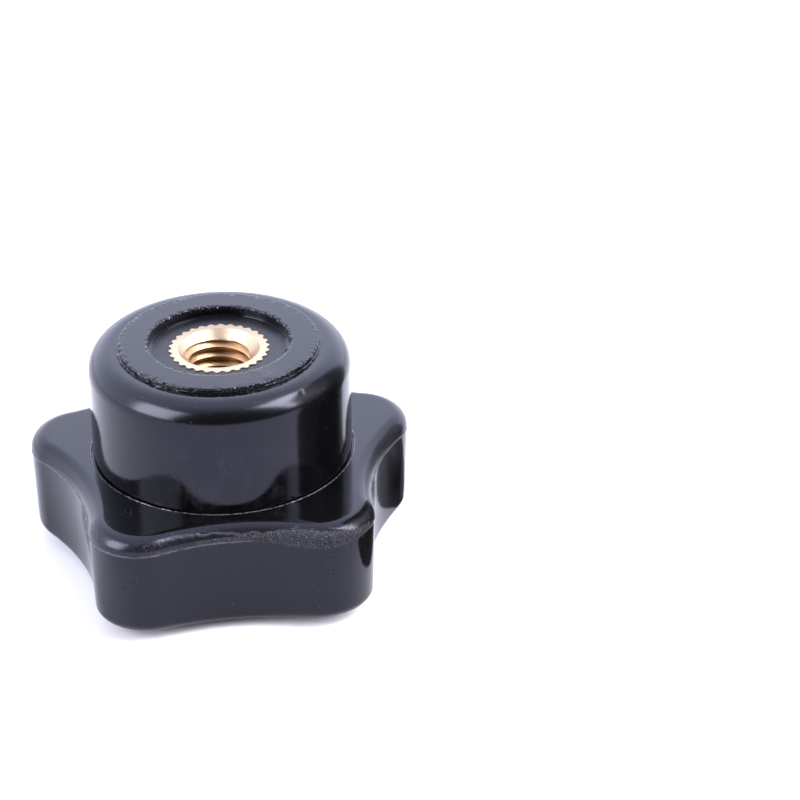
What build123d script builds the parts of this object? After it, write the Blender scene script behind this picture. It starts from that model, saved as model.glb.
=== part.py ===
from build123d import *
import math
import os

# Five-lobed star knob: one phenolic moulding round a knurled brass bush with a through thread.
# It stands on its crowned star face with the hub up. Origin: middle of that face. +Z: thread axis.

# ---- star head, mm ---------------------------------------------------------------------------
LOBES = 5
LOBE_TIP_RADIUS = 28.2          # knob axis to a lobe's end, at the parting line
LOBE_END_ROUND = 7.2            # round of a lobe's end, seen along the axis
VALLEY_RADIUS = 22.0            # knob axis to the bottom of a valley, at the parting line
PARTING_HEIGHT = 14.5           # resting land to the parting line
WALL_DRAFT = 1.0                # degrees, the wall narrows from the parting line to the face
FACE_LAND_RADIUS = 8.5          # flat land round the bore's mouth
FACE_CROWN = 2.0                # how far the face falls away from the land to the lobe ends
FACE_EDGE_ROUND = 1.5
SHOULDER_LAND = 0.1             # straight stretch above the parting line
SHOULDER_ROUND = 2.2            # from there to the flat back of the lobes

# ---- hub -------------------------------------------------------------------------------------
HUB_DRAFT = 0.3                 # degrees, the hub widens towards the star
HUB_RISE = 16.1                 # back of the lobes to the hub's end
HUB_RIM_ROUND = 3.2
GROOVE_WIDTH = 0.25             # round the foot of the hub
GROOVE_DEPTH = 0.4

# ---- seating ring on the hub's end -----------------------------------------------------------
RING_RADIUS = 13.9
RING_RISE = 0.7                 # hub's end to the ring's face
RING_LAND = 1.1                 # flat left on the hub's end, from the ring to the rim round
RING_EDGE_ROUND = 0.2
RECESS_RADIUS = 9.8
RECESS_DEPTH = 1.45             # below the ring's face
RECESS_CORNER_ROUND = 0.2

# ---- clearance bore in the face --------------------------------------------------------------
BORE_RADIUS = 7.8
BORE_DEPTH = 13.0
BORE_MOUTH_ROUND = 0.3

# ---- brass bush ------------------------------------------------------------------------------
BUSH_RADIUS = 7.0               # over the knurl
BUSH_STAND_OUT = 0.12           # each end of the bush beyond the phenolic round it
KNURL_TEETH = 30
KNURL_DEPTH = 0.45
KNURL_GROOVE_ANGLE = 90         # degrees
THREAD_MINOR_RADIUS = 4.25      # M10 x 1.5, modelled at its minor size
COUNTERSINK_RADIUS = 5.65
COUNTERSINK_ANGLE = 90          # degrees, whole cone

# ---- sizes that follow -----------------------------------------------------------------------
hub_radius = RING_RADIUS + RING_LAND + HUB_RIM_ROUND    # under the rim round
back_height = PARTING_HEIGHT + SHOULDER_LAND + SHOULDER_ROUND
hub_height = back_height + HUB_RISE
ring_height = hub_height + RING_RISE
recess_height = ring_height - RECESS_DEPTH
bush_bottom = BORE_DEPTH - BUSH_STAND_OUT
bush_top = recess_height + BUSH_STAND_OUT
CUT_MARGIN = 2.0                # how far a cutting shape runs past what it cuts


def star_face():
    """Flat star at the parting line: lobe ends and valleys are arcs, each tangent to the next."""
    half_pitch = 180 / LOBES
    end_centre_radius = LOBE_TIP_RADIUS - LOBE_END_ROUND
    reach = end_centre_radius * math.cos(math.radians(half_pitch))
    # the valley's arc passes through the valley's bottom and touches both lobe ends
    valley_round = (
        LOBE_END_ROUND**2 - end_centre_radius**2 - VALLEY_RADIUS**2 + 2 * VALLEY_RADIUS * reach
    ) / (2 * (VALLEY_RADIUS - reach - LOBE_END_ROUND))
    end_centre = Vector(end_centre_radius, 0)
    valley_centre = Vector(VALLEY_RADIUS + valley_round, 0).rotate(Axis.Z, half_pitch)
    touch = end_centre + (valley_centre - end_centre) * (LOBE_END_ROUND / (LOBE_END_ROUND + valley_round))
    mirrored_touch = Vector(touch.X, -touch.Y)
    arcs = []
    for lobe in range(LOBES):
        # the first lobe points along +Y
        turn = 90 + lobe * 2 * half_pitch
        next_turn = turn + 2 * half_pitch
        start = mirrored_touch.rotate(Axis.Z, turn)
        tip = Vector(LOBE_TIP_RADIUS, 0).rotate(Axis.Z, turn)
        finish = touch.rotate(Axis.Z, turn)
        valley = Vector(VALLEY_RADIUS, 0).rotate(Axis.Z, turn + half_pitch)
        arcs.append(ThreePointArc(start, tip, finish))
        arcs.append(ThreePointArc(finish, valley, mirrored_touch.rotate(Axis.Z, next_turn)))
    return Face(Wire(arcs))


def crown_ball():
    """Ball whose underside is the crowned face; it passes the land's edge and the lobe ends."""
    centre_height = (FACE_CROWN**2 + LOBE_TIP_RADIUS**2 - FACE_LAND_RADIUS**2) / (2 * FACE_CROWN)
    # turned so that neither its seam nor its poles lie in the face
    return Pos(0, 0, centre_height) * Rot(0, -90, 0) * Sphere(math.hypot(centre_height, FACE_LAND_RADIUS))


def star_head():
    """Head of the knob, from the resting land to the flat back of the lobes."""
    star = Pos(0, 0, PARTING_HEIGHT) * star_face()
    wall = extrude(star, PARTING_HEIGHT, dir=(0, 0, -1), taper=WALL_DRAFT) & crown_ball()
    crown = wall.faces().filter_by(GeomType.SPHERE)[0]
    wall = fillet(crown.outer_wire().edges(), FACE_EDGE_ROUND)
    shoulder = extrude(star, SHOULDER_LAND + SHOULDER_ROUND, dir=(0, 0, 1))
    shoulder = fillet(shoulder.edges().group_by(Axis.Z)[-1], SHOULDER_ROUND)
    return wall + shoulder


def turned(outline):
    """Solid turned about the knob's axis from a closed outline of (radius, height) points."""
    profile = Polyline(*outline, outline[0])
    return revolve(Plane.XZ * Face(Wire(profile.edges())), Axis.Z)


def rounded(solid, radius, height, rounding):
    """The solid with its circular edge of that radius, at that height, rounded."""
    rims = [
        edge for edge in solid.edges().filter_by(GeomType.CIRCLE)
        if math.isclose(edge.arc_center.Z, height, abs_tol=1e-4)
        and math.isclose(edge.radius, radius, abs_tol=1e-4)
    ]
    return fillet(rims, rounding)


def hub_radius_at(height):
    """Radius of the hub's drafted side at a height."""
    rim_height = hub_height - HUB_RIM_ROUND
    return hub_radius + (rim_height - height) * math.tan(math.radians(HUB_DRAFT))


def hub():
    """Round hub with its rim round, raised seating ring and shallow recess."""
    end_radius = hub_radius_at(hub_height)
    solid = turned([
        (0, PARTING_HEIGHT), (hub_radius_at(PARTING_HEIGHT), PARTING_HEIGHT),
        (end_radius, hub_height), (RING_RADIUS, hub_height), (RING_RADIUS, ring_height),
        (RECESS_RADIUS, ring_height), (RECESS_RADIUS, recess_height), (0, recess_height),
    ])
    solid = rounded(solid, end_radius, hub_height, HUB_RIM_ROUND)
    solid = rounded(solid, RING_RADIUS, ring_height, RING_EDGE_ROUND)
    solid = rounded(solid, RECESS_RADIUS, ring_height, RING_EDGE_ROUND)
    return rounded(solid, RECESS_RADIUS, recess_height, RECESS_CORNER_ROUND)


def foot_groove():
    """Narrow groove sunk into the back of the lobes round the foot of the hub."""
    inner = hub_radius_at(back_height)
    outer = inner + GROOVE_WIDTH
    floor = back_height - GROOVE_DEPTH
    top = back_height + CUT_MARGIN
    return turned([(inner, top), (inner, floor), (outer, floor), (outer, top)])


def knurled_blank():
    """Outside of the bush: a straight-knurled bar between its two ends."""
    root = BUSH_RADIUS - KNURL_DEPTH
    # each groove is a wedge that runs on past the bar
    past = BUSH_RADIUS + KNURL_DEPTH
    half_width = (past - root) * math.tan(math.radians(KNURL_GROOVE_ANGLE / 2))
    wedge = Polyline((root, 0), (past, half_width), (past, -half_width), (root, 0))
    groove = Face(Wire(wedge.edges()))
    grooves = [Rot(0, 0, tooth * 360 / KNURL_TEETH) * groove for tooth in range(KNURL_TEETH)]
    section = Circle(BUSH_RADIUS).face() - grooves
    return Pos(0, 0, bush_bottom) * extrude(section, bush_top - bush_bottom)


def threaded_insert():
    """Brass bush: knurled outside, through hole, countersunk at both ends."""
    slope = math.tan(math.radians(COUNTERSINK_ANGLE / 2))
    sink_depth = (COUNTERSINK_RADIUS - THREAD_MINOR_RADIUS) / slope
    hole = turned([
        (0, bush_bottom), (COUNTERSINK_RADIUS, bush_bottom),
        (THREAD_MINOR_RADIUS, bush_bottom + sink_depth), (THREAD_MINOR_RADIUS, bush_top - sink_depth),
        (COUNTERSINK_RADIUS, bush_top), (0, bush_top),
    ])
    return knurled_blank() - hole


def knob_body():
    """The phenolic moulding, cast round the bush."""
    bore = Pos(0, 0, -CUT_MARGIN) * extrude(Circle(BORE_RADIUS).face(), BORE_DEPTH + CUT_MARGIN)
    body = star_head() + hub() - foot_groove() - bore
    body = rounded(body, BORE_RADIUS, 0, BORE_MOUTH_ROUND)
    return body - knurled_blank()


os.makedirs("parts", exist_ok=True)
export_step(knob_body(), "parts/knob_body.step")
export_step(threaded_insert(), "parts/threaded_insert.step")
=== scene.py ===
import math

import bmesh
import bpy
from mathutils import Matrix, Vector, noise


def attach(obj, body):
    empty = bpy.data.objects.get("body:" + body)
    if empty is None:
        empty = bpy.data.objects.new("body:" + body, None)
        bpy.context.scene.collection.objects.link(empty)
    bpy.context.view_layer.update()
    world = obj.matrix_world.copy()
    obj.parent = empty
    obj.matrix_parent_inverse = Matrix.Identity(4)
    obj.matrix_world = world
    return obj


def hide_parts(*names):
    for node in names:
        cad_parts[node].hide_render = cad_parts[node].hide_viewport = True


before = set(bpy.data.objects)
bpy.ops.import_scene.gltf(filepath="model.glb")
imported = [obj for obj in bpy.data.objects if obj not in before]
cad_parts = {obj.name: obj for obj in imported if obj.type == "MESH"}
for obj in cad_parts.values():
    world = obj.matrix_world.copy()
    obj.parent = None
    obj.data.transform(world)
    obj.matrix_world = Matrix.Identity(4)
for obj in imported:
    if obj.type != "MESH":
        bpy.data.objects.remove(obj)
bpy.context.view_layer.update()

# Sizes are in millimetres, as in the solids, until a finished mesh is scaled to metres.
MM = 0.001
HAIR = 1e-4                     # points nearer than this are one
CUT_HAIR = 1e-5                 # and points this near a cutting plane lie on it
SLACK = 0.01                    # allowed when a point is found by its place

# ---- star head -------------------------------------------------------------------------------
LOBES = 5
LOBE_TIP_RADIUS = 28.2
LOBE_END_ROUND = 7.2
VALLEY_RADIUS = 22.0
PARTING_HEIGHT = 14.5
WALL_DRAFT = math.radians(1.0)
FACE_LAND_RADIUS = 8.5
FACE_CROWN = 2.0
FACE_EDGE_ROUND = 1.5
SHOULDER_LAND = 0.1
SHOULDER_ROUND = 2.2

# ---- hub -------------------------------------------------------------------------------------
HUB_DRAFT = math.radians(0.3)
HUB_RISE = 16.1
HUB_RIM_ROUND = 3.2
GROOVE_WIDTH = 0.25
GROOVE_DEPTH = 0.4
RING_RADIUS = 13.9
RING_RISE = 0.7
RING_LAND = 1.1
RING_EDGE_ROUND = 0.2
RECESS_RADIUS = 9.8
RECESS_DEPTH = 1.45
RECESS_CORNER_ROUND = 0.2

# ---- bore and bush ---------------------------------------------------------------------------
BORE_RADIUS = 7.8
BORE_DEPTH = 13.0
BORE_MOUTH_ROUND = 0.3
BUSH_RADIUS = 7.0
BUSH_STAND_OUT = 0.12
KNURL_TEETH = 30
KNURL_DEPTH = 0.45
SEAT_TUCK = 0.05                # the moulding fills the knurl, so its wall hides this far inside it
THREAD_MINOR_RADIUS = 4.25
THREAD_PITCH = 1.5
THREAD_DEPTH = 0.75
COUNTERSINK_RADIUS = 5.65
COUNTERSINK_SLOPE = 1.0         # rise of the countersink over its run

# ---- flash and wear; turns are in degrees from the front, positive to its right --------------
FRONT = math.radians(-97.6)     # the side with the ground patch faces this way
PARTING_FLASH = 0.1             # the thin edge left where the two halves of the mould met
LEDGE_WIDTH = 0.4               # torn flash round the foot of the seating ring
LEDGE_RISE = 0.24
LEDGE_CREST = 0.9               # share of the ledge's width at its top
LEDGE_COVER = 0.25              # the ledge stays this far below the ring's face
LIP_WIDTH = 0.15                # flash along the outside of the groove
LIP_RISE = 0.07
LIP_CREST = (0.6, 0.3)          # shares of the lip's width between which it is highest
PATCH_TURN = 29.5               # where the parting flash was ground off
PATCH_HALF_TURN = 18.5
PATCH_DEPTH = 0.2
PATCH_RISE = 0.5                # middle of the patch above the parting line
PATCH_HALF_HEIGHT = 1.6
NUB_TURN = -100.4               # a little flash left at the end of one lobe
NUB_HALF_TURN = 1.6
NUB_HALF_HEIGHT = 0.3
NUB_STANDS = 0.3
OUTER_CHIP_REACH = 0.5          # how far the chips go from the outer edge of the seating ring
INNER_CHIP_REACH = 0.45         # and from the edge of its recess
PIT_TURN = 44                   # a small pit in the rim
PIT_RADIUS = 0.55
PIT_DROP = 0.8                  # below the hub's end
PIT_DENT = 0.042                # inwards, and as much down

# ---- fineness of the meshes ------------------------------------------------------------------
MOULDING_STEPS = 600            # once round the moulding
THREAD_STEPS = 180              # once round the thread
STEPS_PER_TOOTH = 8
FACE_RIM = 4.0                  # rings nearer the outline than this follow it, on the face
BACK_RIM = 1.8                  # and on the back
BACK_FINE = 3.0                 # the back is drawn finely this far from the outline
WALL_FINE = (1.0, 0.15)         # extra loops this far below the parting line
RING_FINE = 0.25                # extra loop on the ring's face, from its outer edge
RECESS_FINE = (0.6, 0.4)        # and from the edge of the recess
MOULDING_CREASE = math.radians(38)
BUSH_CREASE = math.radians(30)

hub_radius = RING_RADIUS + RING_LAND + HUB_RIM_ROUND    # under the rim round
back_height = PARTING_HEIGHT + SHOULDER_LAND + SHOULDER_ROUND
hub_height = back_height + HUB_RISE
ring_height = hub_height + RING_RISE
recess_height = ring_height - RECESS_DEPTH
groove_inner = hub_radius + (hub_height - HUB_RIM_ROUND - back_height) * math.tan(HUB_DRAFT)
groove_outer = groove_inner + GROOVE_WIDTH
bush_bottom = BORE_DEPTH - BUSH_STAND_OUT
bush_top = recess_height + BUSH_STAND_OUT
seat_radius = BUSH_RADIUS - KNURL_DEPTH - SEAT_TUCK

# the arcs of the star's outline: centres, radii and the line on which they touch
half_pitch = math.pi / LOBES
end_centre = Vector((LOBE_TIP_RADIUS - LOBE_END_ROUND, 0))
end_reach = end_centre.x * math.cos(half_pitch)
valley_round = (
    LOBE_END_ROUND**2 - end_centre.x**2 - VALLEY_RADIUS**2 + 2 * VALLEY_RADIUS * end_reach
) / (2 * (VALLEY_RADIUS - end_reach - LOBE_END_ROUND))
valley_distance = VALLEY_RADIUS + valley_round
valley_centre = valley_distance * Vector((math.cos(half_pitch), math.sin(half_pitch)))
towards_valley = (valley_centre - end_centre).normalized()

# the ball whose underside is the crowned face
ball_height = (FACE_CROWN**2 + LOBE_TIP_RADIUS**2 - FACE_LAND_RADIUS**2) / (2 * FACE_CROWN)
ball_radius = math.hypot(ball_height, FACE_LAND_RADIUS)


# ---- drawing and finishing meshes ------------------------------------------------------------
class Pen:
    """Draws a wire outline in the XZ plane with mesh operators, on from where it last stood."""

    def __init__(self, bm, radius, height):
        self.bm = bm
        self.start = self.tip = bm.verts.new((radius, 0, height))

    def line(self, radius, height, pieces=1):
        """Straight to a point, in equal pieces."""
        step = (Vector((radius, 0, height)) - self.tip.co) / pieces
        for _ in range(pieces):
            self.tip = bmesh.ops.extrude_vert_indiv(self.bm, verts=[self.tip])["verts"][0]
            self.tip.co += step

    def arc(self, radius, height, degrees, pieces):
        """Round the centre (radius, height); a positive turn goes from +X towards +Z."""
        turned = bmesh.ops.spin(
            self.bm, geom=[self.tip], cent=(radius, 0, height), axis=(0, -1, 0),
            angle=math.radians(degrees), steps=pieces,
        )
        self.tip = next(item for item in turned["geom_last"] if isinstance(item, bmesh.types.BMVert))

    def close(self):
        """Back to where the outline began."""
        self.bm.edges.new((self.tip, self.start))


def spin_round(bm, steps, rise=0.0):
    """Turns all that is drawn once round the knob's axis; a rise makes it a screw."""
    bmesh.ops.spin(
        bm, geom=bm.verts[:] + bm.edges[:], cent=(0, 0, 0), axis=(0, 0, 1), dvec=(0, 0, rise / steps),
        angle=2 * math.pi, steps=steps, use_merge=rise == 0.0,
    )
    bmesh.ops.remove_doubles(bm, verts=bm.verts[:], dist=HAIR)


def new_object(bm, name, material):
    """Makes the mesh an object of the scene."""
    mesh = bpy.data.meshes.new(name)
    bm.to_mesh(mesh)
    bm.free()
    mesh.materials.append(material)
    made = bpy.data.objects.new(name, mesh)
    bpy.context.scene.collection.objects.link(made)
    return made


def finish_piece(bm, name, node, material, crease):
    """Makes the mesh a piece that rides on the knob and stands for a CAD node."""
    bmesh.ops.remove_doubles(bm, verts=bm.verts[:], dist=HAIR)
    bmesh.ops.scale(bm, vec=(MM, MM, MM), verts=bm.verts[:])
    bmesh.ops.recalc_face_normals(bm, faces=bm.faces[:])
    for face in bm.faces:
        face.smooth = True
    for edge in bm.edges:
        edge.smooth = edge.is_manifold and edge.calc_face_angle() < crease
    piece = new_object(bm, name, material)
    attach(piece, "root")
    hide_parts(node)


# ---- the star's form -------------------------------------------------------------------------
def lobe_angle(azimuth):
    """Angle from the nearest lobe's middle, 0 to half a pitch."""
    turn = (azimuth - math.pi / 2) % (2 * half_pitch)
    return min(turn, 2 * half_pitch - turn)


def star_radius(azimuth, inset):
    """Distance from the axis to the star's outline, drawn in by an inset."""
    angle = lobe_angle(azimuth)
    end_round = LOBE_END_ROUND - inset
    touch = end_centre + towards_valley * end_round
    if angle <= math.atan2(touch.y, touch.x):
        across = end_centre.x * math.sin(angle)
        return end_centre.x * math.cos(angle) + math.sqrt(end_round**2 - across**2)
    across = valley_distance * math.sin(half_pitch - angle)
    return valley_distance * math.cos(half_pitch - angle) - math.sqrt((valley_round + inset)**2 - across**2)


def depth_inside(radius, azimuth):
    """How far a point lies inside the star's outline, measured square to it."""
    angle = lobe_angle(azimuth)
    point = radius * Vector((math.cos(angle), math.sin(angle)))
    from_end = point - end_centre
    if towards_valley.cross(from_end) < 0:
        return LOBE_END_ROUND - from_end.length
    return (point - valley_centre).length - valley_round


def shoulder_height(depth):
    """Height of the shoulder and the back at a depth inside the outline."""
    run = max(0.0, SHOULDER_ROUND - depth)
    return PARTING_HEIGHT + SHOULDER_LAND + math.sqrt(max(0.0, SHOULDER_ROUND**2 - run**2))


def crown_fall(radius):
    """How far the crowned face lies above the land at a radius."""
    if radius <= FACE_LAND_RADIUS:
        return 0.0
    return ball_height - math.sqrt(ball_radius**2 - radius**2)


# ---- flash and wear --------------------------------------------------------------------------
def uneven(place, size, seed):
    """Uneven number, about -1 to 1, that changes over a size in millimetres."""
    return noise.fractal(place / size + Vector((seed, seed, seed)), 1.0, 2.0, 3)


def turn_from_front(place):
    """Degrees round the axis from the front of the knob, positive to its right."""
    turn = math.degrees(math.atan2(place.y, place.x) - FRONT)
    return (turn + 180) % 360 - 180


def around(turn, middle, half_width):
    """1 in the middle of a stretch of the round, down to 0 at its ends."""
    gap = abs((turn - middle + 180) % 360 - 180)
    share = max(0.0, 1 - gap / half_width)
    return share * share * (3 - 2 * share)


def edge_inset(place, inset):
    """Inset of a point by the parting line: its flash stands out, and is ground off in the patch."""
    turn = turn_from_front(place)
    rise = place.z - PARTING_HEIGHT
    if abs(rise) < SLACK and inset < SLACK:
        heavier = 0.35 * around(turn, middle=-45, half_width=40)
        stands = 0.45 + 0.8 * uneven(place, size=0.7, seed=5.0) + heavier
        inset = PARTING_FLASH * (1 - min(1.0, max(0.1, stands)))
    else:
        inset += PARTING_FLASH
    if abs(rise) < NUB_HALF_HEIGHT:
        inset -= NUB_STANDS * around(turn, NUB_TURN, NUB_HALF_TURN)
    # the patch is flat but for its ends
    in_patch = min(1.0, 3 * around(turn, PATCH_TURN, PATCH_HALF_TURN))
    if in_patch and abs(rise - PATCH_RISE) < PATCH_HALF_HEIGHT:
        ground = PATCH_DEPTH * in_patch + 0.05 * uneven(place, size=0.4, seed=8.0)
        inset = max(inset, ground)
    return inset


def press_star(bm):
    """Presses the turned head into its star: each ring becomes an inset of the outline."""
    for vertex in bm.verts:
        radius = vertex.co.xy.length
        height = vertex.co.z
        on_back = height > PARTING_HEIGHT + SHOULDER_LAND / 2
        core = groove_outer if on_back else FACE_LAND_RADIUS
        rim = BACK_RIM if on_back else FACE_RIM
        if radius <= core + HAIR or height > back_height + HAIR:
            continue
        azimuth = math.atan2(vertex.co.y, vertex.co.x)
        inset = LOBE_TIP_RADIUS - radius
        if inset <= rim:
            pressed = star_radius(azimuth, edge_inset(vertex.co, inset))
        else:
            share = (radius - core) / (LOBE_TIP_RADIUS - rim - core)
            pressed = core + share * (star_radius(azimuth, rim + PARTING_FLASH) - core)
        if on_back:
            depth = inset if inset <= rim else depth_inside(pressed, azimuth) - PARTING_FLASH
            vertex.co.z = shoulder_height(depth)
        vertex.co.xy *= pressed / radius
        if on_back:
            continue
        share = min(1.0, (PARTING_HEIGHT - height) / (PARTING_HEIGHT - FACE_EDGE_ROUND))
        vertex.co.z += share * crown_fall(pressed)


def shift(vertex, outwards, upwards):
    """Moves a point away from the axis and up."""
    vertex.co += vertex.co.xy.normalized().to_3d() * outwards + Vector((0, 0, upwards))


def tear_ledge(vertex, place, radius, heavy):
    """Torn flash round the foot of the seating ring: drawn whole, then made narrower and lower."""
    beside_ring = RING_RADIUS < radius < RING_RADIUS + LEDGE_WIDTH + SLACK
    if beside_ring and hub_height - SLACK < place.z < ring_height - LEDGE_COVER:
        width = 0.25 + 0.6 * heavy + 0.4 * uneven(place, size=1.1, seed=1.0)
        rise = 0.5 + 0.5 * heavy + 0.3 * uneven(place, size=1.4, seed=2.0)
        shift(
            vertex, (radius - RING_RADIUS) * (max(0.1, width) - 1),
            (place.z - hub_height) * (min(1.3, max(0.1, rise)) - 1),
        )


def tear_lip(vertex, place, radius):
    """Flash along the outside of the groove, torn the same way."""
    if groove_outer < radius < groove_outer + LIP_WIDTH and place.z > back_height + SLACK:
        stands = 0.6 + 1.1 * uneven(place, size=0.8, seed=3.0)
        sideways = 0.05 * uneven(place, size=0.5, seed=4.0)
        shift(vertex, sideways, LIP_RISE * (min(1.3, max(0.0, stands)) - 1))


def chip_ring(vertex, place, radius, turn, heavy):
    """Chips along the outer edge of the seating ring and along the edge of its recess."""
    outer_gap = math.hypot(radius - RING_RADIUS, place.z - ring_height)
    if outer_gap < OUTER_CHIP_REACH:
        broken = max(0.0, uneven(place, size=0.6, seed=6.0) + 0.2 * heavy)
        chip = (1 - outer_gap / OUTER_CHIP_REACH) * broken
        shift(vertex, -0.25 * chip, -0.2 * chip)
    inner_gap = math.hypot(radius - RECESS_RADIUS, place.z - ring_height)
    if inner_gap < INNER_CHIP_REACH:
        rough_side = 0.15 + 0.5 * around(turn, middle=75, half_width=60)
        broken = max(0.0, uneven(place, size=0.5, seed=7.0) + rough_side)
        chip = (1 - inner_gap / INNER_CHIP_REACH) * broken
        shift(vertex, 0.5 * chip * uneven(place, size=0.35, seed=9.0), -0.35 * chip)


def tear_edges(bm):
    """Torn flash on the seating ring and by the groove, chipped edges, and the pit in the rim."""
    pit_side = FRONT + math.radians(PIT_TURN)
    pit_radius = hub_radius - HUB_RIM_ROUND * 0.3
    pit = Vector((pit_radius * math.cos(pit_side), pit_radius * math.sin(pit_side), hub_height - PIT_DROP))
    for vertex in bm.verts:
        place = vertex.co.copy()
        radius = place.xy.length
        turn = turn_from_front(place)
        # the flash is heaviest left of the front, less so right of it, and light behind
        heavy = max(
            around(turn, middle=-52, half_width=48), 0.8 * around(turn, middle=60, half_width=40),
            0.4 * around(turn, middle=180, half_width=60),
        )
        tear_ledge(vertex, place, radius, heavy)
        tear_lip(vertex, place, radius)
        chip_ring(vertex, place, radius, turn, heavy)
        pit_gap = (place - pit).length
        if pit_gap < PIT_RADIUS:
            dent = PIT_DENT * (1 - (pit_gap / PIT_RADIUS)**2)
            shift(vertex, -dent, -dent)


# ---- the moulding ----------------------------------------------------------------------------
def draw_moulding(bm):
    """Half section of the knob, its head still round: from the bush's seat out and round."""
    pen = Pen(bm, seat_radius, BORE_DEPTH)
    pen.line(BORE_RADIUS, BORE_DEPTH, pieces=3)
    pen.line(BORE_RADIUS, BORE_MOUTH_ROUND, pieces=4)
    pen.arc(BORE_RADIUS + BORE_MOUTH_ROUND, BORE_MOUTH_ROUND, 90, pieces=4)
    pen.line(FACE_LAND_RADIUS, 0)

    # the draft leaves the face a little smaller than the parting line
    drawn_in = (PARTING_HEIGHT - FACE_EDGE_ROUND) * math.tan(WALL_DRAFT)
    face_corner = LOBE_TIP_RADIUS - (drawn_in + FACE_EDGE_ROUND / math.cos(WALL_DRAFT))
    pen.line(LOBE_TIP_RADIUS - FACE_RIM, 0, pieces=14)
    pen.line(face_corner, 0, pieces=3)
    pen.arc(face_corner, FACE_EDGE_ROUND, 90 - math.degrees(WALL_DRAFT), pieces=12)
    pen.line(LOBE_TIP_RADIUS, PARTING_HEIGHT - WALL_FINE[0], pieces=5)
    pen.line(LOBE_TIP_RADIUS, PARTING_HEIGHT - WALL_FINE[1], pieces=3)
    pen.line(LOBE_TIP_RADIUS, PARTING_HEIGHT)

    # the shoulder's round stops short of the flat back, which the next line reaches
    pen.line(LOBE_TIP_RADIUS, PARTING_HEIGHT + SHOULDER_LAND)
    pen.arc(LOBE_TIP_RADIUS - SHOULDER_ROUND, PARTING_HEIGHT + SHOULDER_LAND, 80, pieces=14)
    pen.line(LOBE_TIP_RADIUS - BACK_FINE, back_height, pieces=4)
    pen.line(groove_outer + LIP_WIDTH, back_height, pieces=8)
    for share in LIP_CREST:
        pen.line(groove_outer + LIP_WIDTH * share, back_height + LIP_RISE)
    pen.line(groove_outer, back_height)
    pen.line(groove_outer, back_height - GROOVE_DEPTH)
    pen.line(groove_inner, back_height - GROOVE_DEPTH)
    pen.line(groove_inner, back_height)

    pen.line(hub_radius, hub_height - HUB_RIM_ROUND, pieces=6)
    pen.arc(hub_radius - HUB_RIM_ROUND, hub_height - HUB_RIM_ROUND, 90, pieces=16)
    pen.line(RING_RADIUS + LEDGE_WIDTH, hub_height, pieces=3)
    pen.line(RING_RADIUS + LEDGE_WIDTH * LEDGE_CREST, hub_height + LEDGE_RISE)
    pen.line(RING_RADIUS, hub_height + LEDGE_RISE, pieces=2)
    pen.line(RING_RADIUS, ring_height - RING_EDGE_ROUND, pieces=2)
    pen.arc(RING_RADIUS - RING_EDGE_ROUND, ring_height - RING_EDGE_ROUND, 90, pieces=3)
    pen.line(RING_RADIUS - RING_EDGE_ROUND - RING_FINE, ring_height, pieces=2)
    pen.line(RECESS_RADIUS + RING_EDGE_ROUND + RECESS_FINE[0], ring_height, pieces=4)
    pen.line(RECESS_RADIUS + RING_EDGE_ROUND + RECESS_FINE[1], ring_height, pieces=2)
    pen.line(RECESS_RADIUS + RING_EDGE_ROUND, ring_height, pieces=2)
    pen.arc(RECESS_RADIUS + RING_EDGE_ROUND, ring_height - RING_EDGE_ROUND, 90, pieces=3)
    pen.line(RECESS_RADIUS, recess_height + RECESS_CORNER_ROUND, pieces=3)
    pen.arc(RECESS_RADIUS - RECESS_CORNER_ROUND, recess_height + RECESS_CORNER_ROUND, -90, pieces=2)
    pen.line(seat_radius, recess_height, pieces=4)
    pen.close()


def knob_moulding(material):
    """The phenolic moulding: turned whole, then its head is pressed into the star."""
    bm = bmesh.new()
    draw_moulding(bm)
    spin_round(bm, MOULDING_STEPS)
    press_star(bm)
    tear_edges(bm)
    finish_piece(bm, "knob_moulding", "knob_body", material, MOULDING_CREASE)


# ---- the bush --------------------------------------------------------------------------------
def draw_thread(bm):
    """Threads of the bush drawn as one zigzag line, each crest and groove with its flats."""
    groove_flat = THREAD_PITCH / 8
    crest_flat = THREAD_PITCH / 4
    flank = (THREAD_PITCH - groove_flat - crest_flat) / 2
    past = 2 * THREAD_PITCH     # the line runs past both ends, which are cut off later
    height = bush_bottom - past
    pen = Pen(bm, THREAD_MINOR_RADIUS, height)
    while height < bush_top + past:
        pen.line(THREAD_MINOR_RADIUS, height + crest_flat, pieces=2)
        pen.line(THREAD_MINOR_RADIUS + THREAD_DEPTH, height + crest_flat + flank, pieces=3)
        pen.line(THREAD_MINOR_RADIUS + THREAD_DEPTH, height + crest_flat + flank + groove_flat, pieces=2)
        height += THREAD_PITCH
        pen.line(THREAD_MINOR_RADIUS, height, pieces=3)


def open_countersinks(bm):
    """Widens the thread to a cone at each end and cuts off what lies past the ends."""
    for vertex in bm.verts:
        radius = vertex.co.xy.length
        nearest_end = min(vertex.co.z - bush_bottom, bush_top - vertex.co.z)
        sunk = COUNTERSINK_RADIUS - nearest_end * COUNTERSINK_SLOPE
        if sunk > radius:
            vertex.co.xy *= sunk / radius
    for height, side in ((bush_bottom, -1), (bush_top, 1)):
        bmesh.ops.bisect_plane(
            bm, geom=bm.verts[:] + bm.edges[:] + bm.faces[:], dist=CUT_HAIR, plane_co=(0, 0, height),
            plane_no=(0, 0, side), clear_outer=True,
        )


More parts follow.
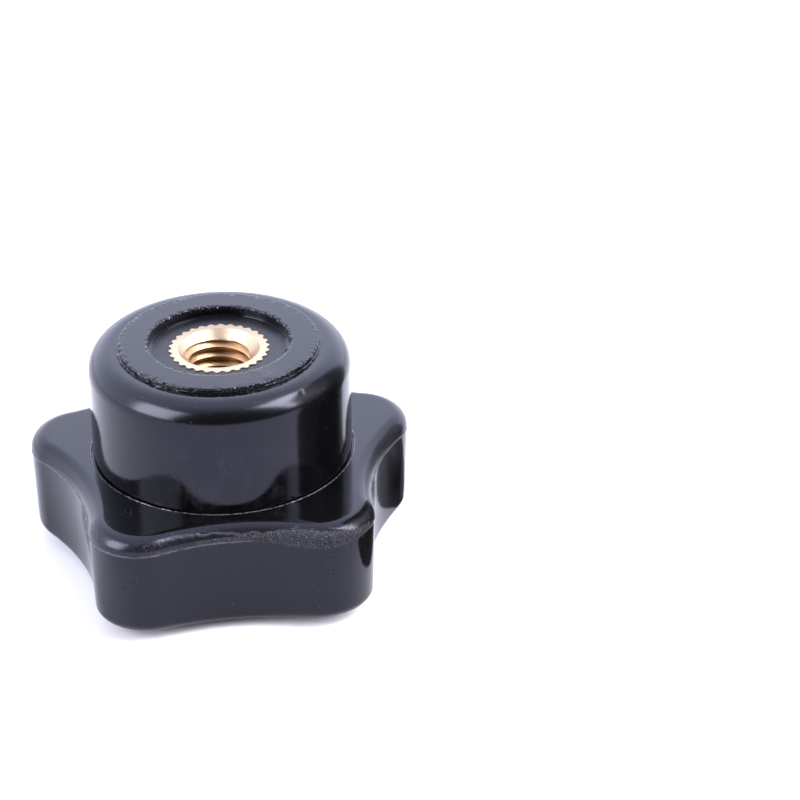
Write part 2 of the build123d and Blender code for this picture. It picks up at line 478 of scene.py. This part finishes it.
def knurl_outside(bm):
    """Knurled wall round the thread, joined to it by the bush's two end faces."""
    knurl = bmesh.ops.create_circle(bm, segments=KNURL_TEETH * STEPS_PER_TOOTH, radius=BUSH_RADIUS)["verts"]
    for vertex in knurl:
        tooth = KNURL_TEETH * math.atan2(vertex.co.y, vertex.co.x)
        vertex.co.xy *= 1 - KNURL_DEPTH / BUSH_RADIUS * (0.5 - 0.5 * math.cos(tooth))
        vertex.co.z = bush_bottom
    rim = list({edge for vertex in knurl for edge in vertex.link_edges})
    wall = bmesh.ops.extrude_edge_only(bm, edges=rim)["geom"]
    top_ring = [item for item in wall if isinstance(item, bmesh.types.BMVert)]
    bmesh.ops.translate(bm, verts=top_ring, vec=(0, 0, bush_top - bush_bottom))
    for height in (bush_bottom, bush_top):
        ends = [
            edge for edge in bm.edges
            if edge.is_boundary and all(abs(vertex.co.z - height) < SLACK for vertex in edge.verts)
        ]
        bmesh.ops.triangle_fill(bm, use_beauty=True, edges=ends, normal=(0, 0, 1))


def threaded_bush(material):
    """Brass bush: straight knurl outside, a right-hand thread inside, a countersink at each end."""
    bm = bmesh.new()
    draw_thread(bm)
    spin_round(bm, THREAD_STEPS, rise=THREAD_PITCH)
    open_countersinks(bm)
    knurl_outside(bm)
    finish_piece(bm, "threaded_bush", "threaded_insert", material, BUSH_CREASE)


# ---- materials -------------------------------------------------------------------------------
BLACK = (0.0012, 0.0012, 0.0014, 1)
# greyer black: hazed smudges on the hub, and painted sheen on the shoulders
HAZE_AND_SHEEN_BLACK = (0.011, 0.011, 0.013, 1)
# paler black of wear, dust and scratches, and of painted highlights
WEAR_AND_HIGHLIGHT_BLACK = (0.09, 0.09, 0.1, 1)
GROUND_DARK = (0.003, 0.003, 0.004, 1)
GROUND_PALE = (0.13, 0.13, 0.13, 1)
PHENOLIC_IOR = 1.35
PHENOLIC_GLEAM = (0.77, 0.79, 1.0, 1)   # tint of its reflections
BRASS = (0.44, 0.34, 0.235, 1)
BRASS_DULLER = (0.39, 0.30, 0.20, 1)
BRASS_BROWN = (0.40, 0.23, 0.11, 1)


class Shade:
    """One shader socket. Sums and products of sockets add the Math nodes that they need."""

    def __init__(self, tree, socket=None):
        self.tree = tree
        self.socket = socket

    def fill(self, node, inputs):
        """Gives a node's inputs their values or links, by name or place."""
        for name, value in inputs.items():
            if isinstance(value, Shade):
                self.tree.links.new(value.socket, node.inputs[name])
            else:
                node.inputs[name].default_value = value

    def node(self, kind, settings=None, inputs=None, output=0):
        """Adds any node: its settings first, then its inputs."""
        made = self.tree.nodes.new(kind)
        for name, value in (settings or {}).items():
            setattr(made, name, value)
        self.fill(made, inputs or {})
        return Shade(self.tree, made.outputs[output])

    def math(self, operation, *values):
        """A Math node on values."""
        return self.node("ShaderNodeMath", {"operation": operation}, dict(enumerate(values)))

    def __add__(self, other):
        return self.math("ADD", self, other)

    __radd__ = __add__

    def __mul__(self, other):
        return self.math("MULTIPLY", self, other)

    __rmul__ = __mul__

    def __sub__(self, other):
        return self.math("SUBTRACT", self, other)

    def __rsub__(self, other):
        return self.math("SUBTRACT", other, self)

    def ramp(self, low, high, bottom=0.0, top=1.0):
        """One value below low, another above high, and smooth between."""
        return self.node(
            "ShaderNodeMapRange", {"interpolation_type": "SMOOTHSTEP"},
            {"Value": self, "From Min": low, "From Max": high, "To Min": bottom, "To Max": top},
        )

    def band(self, middle, half_width, soft):
        """1 within a half width of the middle, with soft sides."""
        gap = self.math("ABSOLUTE", self - middle)
        return 1.0 - gap.ramp(half_width - soft, half_width + soft)

    def colour_mix(self, first, second):
        """Two colours mixed by this mask."""
        return self.node("ShaderNodeMix", {"data_type": "RGBA"}, {0: self, 6: first, 7: second}, 2)

    def stretched(self, scale, rotation=(0, 0, 0)):
        """These places, scaled along each axis and then turned."""
        return self.node(
            "ShaderNodeMapping", {}, {"Vector": self, "Rotation": rotation, "Scale": scale},
        )

    def grain(self, scale, detail=4.0, roughness=0.6):
        """Noise over these places."""
        return self.node(
            "ShaderNodeTexNoise", {},
            {"Vector": self, "Scale": scale, "Detail": detail, "Roughness": roughness},
        )

    def bump(self, strength, distance):
        """This height as a bump for a shader's normal."""
        return self.node(
            "ShaderNodeBump", {}, {"Height": self, "Strength": strength, "Distance": distance},
        )


def new_material(name):
    """An empty material, its Shade to build with, and its Principled shader."""
    material = bpy.data.materials.new(name)
    material.use_nodes = True
    tree = material.node_tree
    principled = next(node for node in tree.nodes if node.type == "BSDF_PRINCIPLED")
    return material, Shade(tree), principled


def knob_places(shade):
    """Places on the knob in millimetres, its front along +X, and their radius and height."""
    object_places = shade.node("ShaderNodeTexCoord", output=3)
    place = object_places.stretched((1 / MM, 1 / MM, 1 / MM), (0, 0, -FRONT))
    flat = shade.node("ShaderNodeVectorMath", {"operation": "MULTIPLY"}, {0: place, 1: (1, 1, 0)})
    radius = shade.node("ShaderNodeVectorMath", {"operation": "LENGTH"}, {0: flat}, 1)
    height = shade.node("ShaderNodeSeparateXYZ", {}, {0: place}, 2)
    return place, radius, height


def phenolic():
    """Black phenolic, moulded glossy: dull shoulders, worn parting line, a ground patch, dust, painted
    highlights and sheen.
    """
    material, shade, principled = new_material("black_phenolic")
    place, radius, height = knob_places(shade)
    # radians from the front, positive to its right; all lengths below are in millimetres
    turn = shade.math(
        "ARCTAN2", shade.node("ShaderNodeSeparateXYZ", {}, {0: place}, 1),
        shade.node("ShaderNodeSeparateXYZ", {}, {0: place}, 0),
    )
    fine = place.grain(2.4, detail=5.0, roughness=0.7)
    sandy = place.grain(6.0, detail=3.0, roughness=0.8)
    cloudy = place.grain(0.28, detail=4.0, roughness=0.65)

    # where the gloss is less: the shoulders, the recess, the rim, the pit, and smudges on the hub
    outside = radius.ramp(groove_outer, groove_outer + 1.0)
    shoulder = height.band(PARTING_HEIGHT + 0.95, half_width=0.9, soft=0.2) * outside
    in_recess = 1.0 - radius.ramp(RECESS_RADIUS - 0.6, RECESS_RADIUS - 0.2)
    recess = in_recess * height.ramp(recess_height - 0.3, recess_height - 0.1)
    rim_start = hub_height - HUB_RIM_ROUND
    rim = height.ramp(rim_start - 0.2, rim_start + 1.6) * radius.ramp(RING_RADIUS + 0.7, RING_RADIUS + 1.9)
    pit = (turn.band(math.radians(PIT_TURN), half_width=0.014, soft=0.008)
           * height.band(hub_height - PIT_DROP, half_width=0.2, soft=0.15) * outside)
    smudge = (turn.band(0.12, half_width=0.45, soft=0.2)
              * height.band(back_height + 4.7, half_width=4.0, soft=2.0) * cloudy.ramp(0.45, 0.65))

    # the parting line, worn pale, and the patch where its flash was ground off
    strayed = height + (fine - 0.5) * 0.5
    line = strayed.band(PARTING_HEIGHT, half_width=0.1, soft=0.09) * outside * cloudy.ramp(0.3, 0.55)
    patch_middle = math.radians(PATCH_TURN)
    patch_half = math.radians(PATCH_HALF_TURN)
    ragged = turn + (fine - 0.5) * 0.16
    patch_ends = ragged.band(patch_middle - 0.14, half_width=patch_half + 0.16, soft=0.02)
    thick = turn.band(patch_middle + 0.02, half_width=patch_half - 0.12, soft=0.2) + 0.25
    from_line = shade.math("ABSOLUTE", height + (fine - 0.5) * 1.2 - (PARTING_HEIGHT + 0.4))
    patch = patch_ends * (thick - from_line).ramp(-0.1, 0.1) * outside

    # ridges where the shoulder above the patch was rubbed, paled as painted sheen, and painted highlights
    # in blotches left of the front
    wavy = height * 5.0 + turn * 4.0 + cloudy * 9.0
    rubbed = turn.band(0.3, half_width=0.5, soft=0.2) * shoulder * (1.0 - patch)
    # the rubbed ridges are real relief; their paler black is painted sheen
    ridge_and_sheen = rubbed * shade.math("SINE", wavy).ramp(0.55, 1.0)
    # painted highlight: blotches of paler black on the shoulder, left of the front
    blotch_highlight_turns = turn.band(-0.62, half_width=0.1, soft=0.08) + turn.band(-0.31, half_width=0.07, soft=0.06)
    blotch_highlight = blotch_highlight_turns * shoulder * fine.ramp(0.45, 0.75)

    # torn edges of the seating ring and of the recess, and the lip by the groove, painted pale as a
    # highlight along its edge
    high = height.ramp(hub_height - 0.1, hub_height + 0.05)
    torn = (radius.band(RING_RADIUS + 0.1, half_width=0.35, soft=0.2)
            + radius.band(RECESS_RADIUS + 0.1, half_width=0.4, soft=0.25))
    crumb_patch = (radius.band(RECESS_RADIUS + 2.0, half_width=1.2, soft=0.8)
                   * turn.band(0.5, half_width=0.25, soft=0.2) * cloudy.ramp(0.4, 0.6))
    crumbs = (torn * 0.5 + crumb_patch) * high * sandy.ramp(0.52, 0.62)
    # painted highlight: the black paled along the lip's flash, where its edge catches the light
    lip_highlight = (radius.band(groove_outer + LIP_WIDTH / 2, half_width=0.12, soft=0.05)
           * height.band(back_height, half_width=0.3, soft=0.1) * fine.ramp(0.38, 0.55))

    # scuffs on the front wall, short scratches and dust
    upright = place.stretched((3.0, 3.0, 0.35)).grain(1.0, detail=3.0)
    level = place.stretched((0.4, 0.4, 3.5)).grain(1.0, detail=3.0)
    hatch = upright.ramp(0.55, 0.64) + level.ramp(0.55, 0.64)
    scuffed = (
        turn.band(0.58, half_width=0.13, soft=0.08)
        * height.band(PARTING_HEIGHT - 4.7, half_width=3.2, soft=1.0)
        + turn.band(-0.44, half_width=0.08, soft=0.06)
        * height.band(PARTING_HEIGHT - 5.6, half_width=2.4, soft=1.0)
    )
    scuff = scuffed * outside * hatch * cloudy.ramp(0.3, 0.5)
    scratch = place.stretched((0.25, 3.4, 3.4), (0.5, 0.7, 0.3)).grain(1.0, detail=2.0).ramp(0.69, 0.73)
    cells = {"Vector": place, "Scale": 1.2}
    speck = 1.0 - shade.node("ShaderNodeTexVoronoi", {}, cells).ramp(0.04, 0.09)
    dust = speck * shade.node("ShaderNodeTexVoronoi", {}, cells, 1).ramp(0.6, 0.75)

    # how much each mark pales the black: wear, dust and scratches, and painted highlights and sheen on the
    # lip, ridges and blotches
    paled = (line * 0.45 + crumbs * 0.2 + lip_highlight * 0.6 + scratch * 0.08 + dust * 0.5
             + ridge_and_sheen * 0.25 + blotch_highlight * 0.3)
    wear_and_highlights = shade.math("MINIMUM", paled, 1.0).colour_mix(BLACK, WEAR_AND_HIGHLIGHT_BLACK)
    # smudges on the hub greyed by haze; the shoulders greyed as painted sheen
    hazed_and_sheened = (smudge * 0.4 + shoulder * 0.6 * fine).colour_mix(wear_and_highlights, HAZE_AND_SHEEN_BLACK)
    ground = sandy.ramp(0.52, 0.76).colour_mix(GROUND_DARK, GROUND_PALE)
    # how much each takes the gloss away, and how high it stands
    dullness = (cloudy * 0.06 + 0.08 + shoulder * 0.12 + rim * 0.1 + recess * 0.25 + smudge * 0.12
                + scuff * 0.5 + line * 0.3 + crumbs * 0.2 + patch * 0.45 + dust * 0.4 + pit * 0.7)
    relief = (fine * 0.03 + cloudy * 0.1 + patch * sandy * 0.5 + shoulder * fine * 0.12 + ridge_and_sheen * 0.35
              + (torn * 0.1 + crumb_patch * 0.3) * high * sandy - scratch * 0.05 + scuff * 0.1
              + line * sandy * 0.5 - pit * sandy)
    shade.fill(principled, {
        "Base Color": patch.colour_mix(hazed_and_sheened, ground), "Roughness": dullness,
        "IOR": PHENOLIC_IOR, "Specular Tint": PHENOLIC_GLEAM,
        "Normal": relief.bump(strength=1.0, distance=0.12 * MM),
    })
    return material


def turned_brass():
    """Bronze-coloured brass with fine turning marks, browner down in the thread."""
    material, shade, principled = new_material("turned_brass")
    place, radius, height = knob_places(shade)
    tone = place.grain(1.3, detail=4.0)
    marks = shade.math("SINE", radius * 70.0 + tone * 3.0)
    in_thread = 1.0 - radius.ramp(COUNTERSINK_RADIUS - 0.65, COUNTERSINK_RADIUS - 0.05)
    deep = in_thread * (1.0 - height.ramp(bush_top - 2.0, bush_top - 0.9))
    bright = tone.colour_mix(BRASS, BRASS_DULLER)
    relief = marks * 0.5 + tone
    shade.fill(principled, {
        "Base Color": (deep * 0.75).colour_mix(bright, BRASS_BROWN),
        "Metallic": 1.0, "Roughness": tone * 0.12 + 0.27,
        "Normal": relief.bump(strength=0.4, distance=0.02 * MM),
    })
    return material


# ---- floor, light and camera -----------------------------------------------------------------
FLOOR_HALF = 6.0                # metres
FLOOR_COLOUR = (0.47, 0.47, 0.5, 1)
TENT_COLOUR = (0.77, 0.81, 1.0, 1)
TENT_FRONT, TENT_BACK = 0.12, 3.7   # brightness towards the camera and behind the knob
BOX_COLOUR = (1.0, 0.97, 0.99)
BOX_DISTANCE = 0.9              # metres
CARD_COLOUR = (0.002, 0.002, 0.002, 1)
ROLLED_CARD = (22.8, 54, (50.0, -9.4, 27.1))    # radius, height and middle, in millimetres
# a flat black disc on the floor, seen only in reflections: painted shadow on the floor right of the knob
FLOOR_SHADOW_CARD = (12.5, 0.2, (40.9, 2.7, 0.2))
CAMERA_PLACE = (-13.4, -288.6, 190.3)   # millimetres
CAMERA_HEADING = math.radians(82.37)    # from +X towards +Y
CAMERA_DIP = math.radians(30.03)
CAMERA_LENS = 106.8


def pale_floor():
    """Wide pale floor under the knob."""
    material, shade, principled = new_material("white_sweep")
    shade.fill(principled, {"Base Color": FLOOR_COLOUR, "Roughness": 1.0, "Specular IOR Level": 0.0})
    bm = bmesh.new()
    bmesh.ops.create_grid(bm, x_segments=1, y_segments=1, size=FLOOR_HALF)
    new_object(bm, "floor", material)


def soft_box(name, azimuth, elevation, width, height, radiance):
    """A flat lamp that faces the knob, in metres; azimuth 0 is in front of it, 90 to its right."""
    lamp = bpy.data.lights.new(name, "AREA")
    lamp.shape = "RECTANGLE"
    lamp.size = width
    lamp.size_y = height
    # a lamp's power for the brightness that its face shows
    lamp.energy = radiance * math.pi * width * height
    lamp.color = BOX_COLOUR
    holder = bpy.data.objects.new(name, lamp)
    turn, lift = math.radians(azimuth), math.radians(elevation)
    away = Vector((math.sin(turn) * math.cos(lift), -math.cos(turn) * math.cos(lift), math.sin(lift)))
    holder.location = Vector((0, 0, ring_height * MM / 2)) + away * BOX_DISTANCE
    holder.rotation_euler = away.to_track_quat("Z", "Y").to_euler()
    bpy.context.scene.collection.objects.link(holder)


def studio_light():
    """White tent behind and at the sides, open towards the camera, and two soft boxes."""
    world = bpy.data.worlds.new("tent")
    world.use_nodes = True
    bpy.context.scene.world = world
    shade = Shade(world.node_tree)
    background = next(node for node in world.node_tree.nodes if node.type == "BACKGROUND")
    backwards = shade.node("ShaderNodeSeparateXYZ", {}, {0: shade.node("ShaderNodeTexCoord")}, 1)
    shade.fill(background, {
        "Strength": backwards.ramp(-0.75, 0.1, bottom=TENT_FRONT, top=TENT_BACK), "Color": TENT_COLOUR,
    })
    soft_box("left_box", azimuth=-63, elevation=28, width=0.55, height=0.7, radiance=16.0)
    soft_box("right_box", azimuth=74, elevation=40, width=0.55, height=0.8, radiance=23.0)


def dark_cards():
    """A rolled black card, and a flat one that is painted shadow on the floor, right of the knob to darken
    that side; only mirrored.
    """
    material, shade, principled = new_material("black_card")
    shade.fill(principled, {"Base Color": CARD_COLOUR, "Roughness": 0.3})
    bm = bmesh.new()
    for radius, tall, middle in (ROLLED_CARD, FLOOR_SHADOW_CARD):
        bmesh.ops.create_cone(
            bm, cap_ends=True, segments=64, radius1=radius * MM, radius2=radius * MM, depth=tall * MM,
            matrix=Matrix.Translation(Vector(middle) * MM),
        )
    cards = new_object(bm, "dark_cards", material)
    cards.visible_camera = False
    cards.visible_diffuse = False
    cards.visible_shadow = False


def place_camera():
    """Long lens, looking down on the knob from in front."""
    lens = bpy.data.cameras.new("camera")
    lens.lens = CAMERA_LENS
    lens.sensor_width = 36.0
    lens.clip_start = 0.01
    camera = bpy.data.objects.new("camera", lens)
    ahead = Vector((
        math.cos(CAMERA_HEADING) * math.cos(CAMERA_DIP), math.sin(CAMERA_HEADING) * math.cos(CAMERA_DIP),
        -math.sin(CAMERA_DIP),
    ))
    camera.location = Vector(CAMERA_PLACE) * MM
    camera.rotation_euler = (-ahead).to_track_quat("Z", "Y").to_euler()
    bpy.context.scene.collection.objects.link(camera)
    bpy.context.scene.camera = camera


knob_moulding(phenolic())
threaded_bush(turned_brass())
pale_floor()
studio_light()
dark_cards()
place_camera()
bpy.context.scene.view_settings.view_transform = "Standard"
